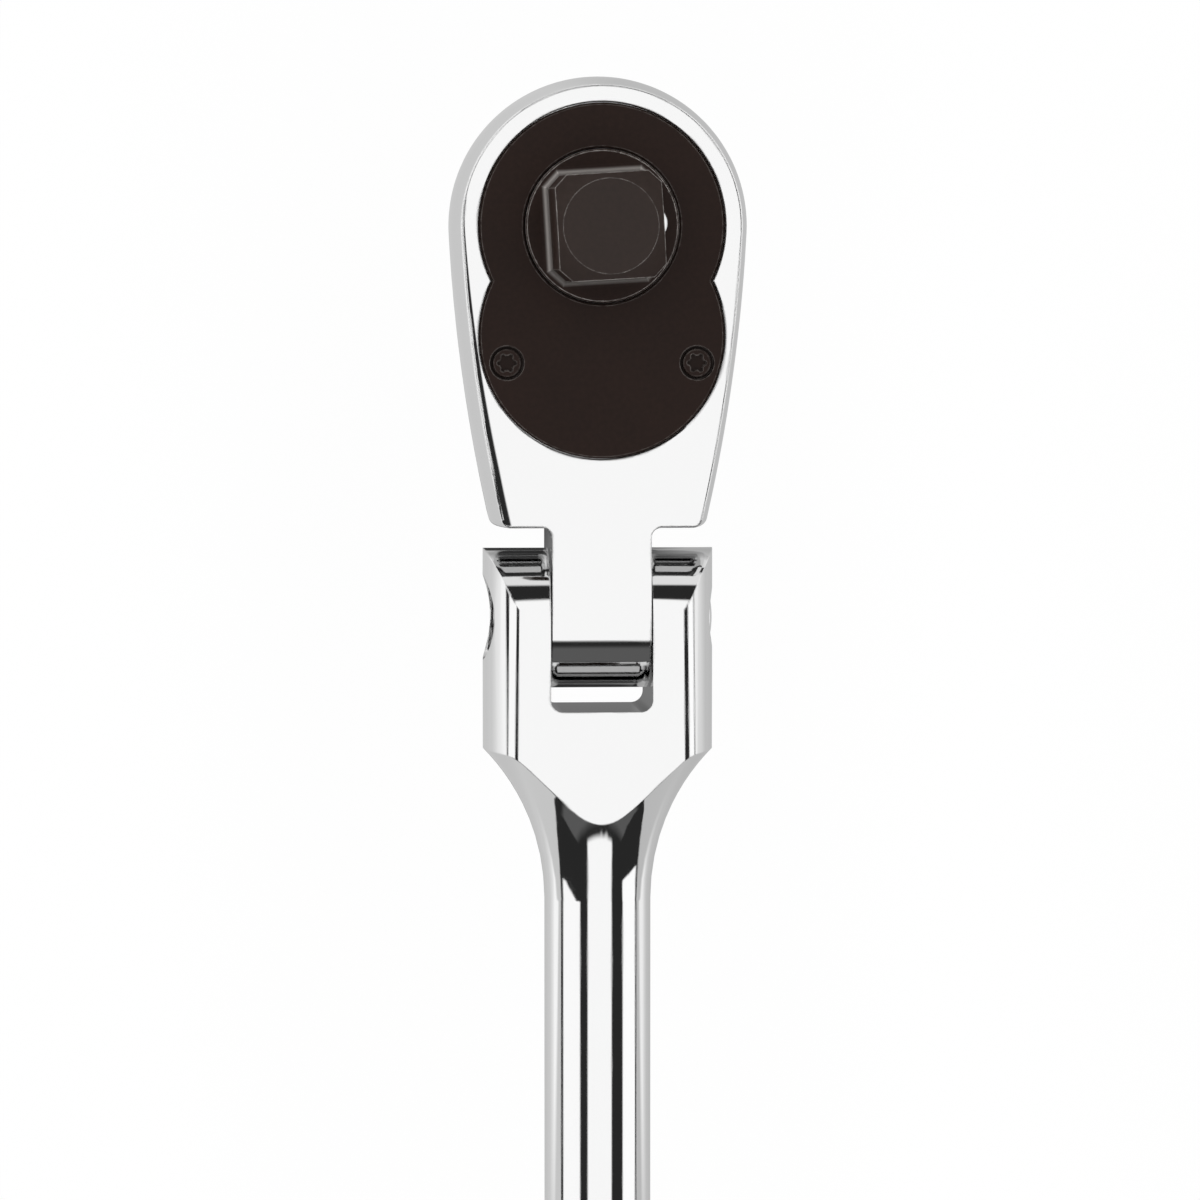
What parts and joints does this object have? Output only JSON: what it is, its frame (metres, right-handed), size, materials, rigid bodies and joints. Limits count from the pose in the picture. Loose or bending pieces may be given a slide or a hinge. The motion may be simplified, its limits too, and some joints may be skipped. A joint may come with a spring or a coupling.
{
  "type": "ratchet wrench",
  "caption": "Flex-head reversible ratchet wrench in polished chrome, with a black cover plate, a square drive and a knurled round grip.",
  "frame": {"origin": "on the drive axis, at the hub face that a socket seats against", "axes": "+Z out along the square drive, +Y along the tool from the grip to the head, +X to the right of the drive face"},
  "size_m": [0.0272, 0.28, 0.0277],
  "materials": {
    "polished_chrome": "polished chrome plate on steel",
    "black_phosphate_steel": "black phosphate, satin",
    "bright_steel": "bright ground steel",
    "hardened_steel": "hardened steel, oiled",
    "spring_steel": "spring steel",
    "seal_rubber": "nitrile rubber"
  },
  "bodies": {
    "handle": {"handle": "polished_chrome", "pivot_screw": "bright_steel", "friction_washer_left": "spring_steel", "friction_washer_right": "spring_steel"},
    "head": {"head_body": "polished_chrome", "cover_plate": "black_phosphate_steel", "cover_screw_left": "black_phosphate_steel", "cover_screw_right": "black_phosphate_steel", "thrust_washer": "hardened_steel", "pawl_pin": "hardened_steel"},
    "drive": {"drive_gear": "black_phosphate_steel", "hub_o_ring": "seal_rubber", "detent_spring": "spring_steel"},
    "ball": {"detent_ball": "bright_steel"},
    "pawl": {"pawl": "hardened_steel"},
    "lever": {"reversing_lever": "polished_chrome", "lever_o_ring": "seal_rubber", "lever_retaining_ring": "spring_steel", "lever_spring": "spring_steel"},
    "plunger": {"lever_plunger": "hardened_steel"}
  },
  "joints": [
    {"name": "head_flex", "type": "hinge", "parent": "handle", "child": "head", "pos_m": [0, -0.03565, -0.00665], "axis": [1, 0, 0], "range_deg": [-90, 90]},
    {"name": "drive_spin", "type": "hinge", "parent": "head", "child": "drive", "pos_m": [0, 0, 0], "axis": [0, 0, 1], "continuous": true},
    {"name": "ball_press", "type": "slide", "parent": "drive", "child": "ball", "axis": [-0.9982, -0.0593, 0], "range_m": [0, 0.0008], "stiffness_N_per_m": 800, "springref_m": -0.002, "deforming": ["detent_spring"]},
    {"name": "lever_turn", "type": "hinge", "parent": "head", "child": "lever", "pos_m": [0, -0.017, 0], "axis": [0, 0, 1], "range_deg": [-56, 0]},
    {"name": "pawl_rock", "type": "hinge", "parent": "head", "child": "pawl", "pos_m": [0, -0.0122, 0], "axis": [0, 0, 1], "range_deg": [0, 7.6]},
    {"name": "plunger_press", "type": "slide", "parent": "lever", "child": "plunger", "axis": [0.4695, -0.8829, 0], "range_m": [0, 0.00035], "stiffness_N_per_m": 800, "springref_m": -0.001, "deforming": ["lever_spring"]}
  ],
  "couplings": [
    {"joint": "pawl_rock", "follows": "lever_turn", "ratio": -0.1357}
  ]
}
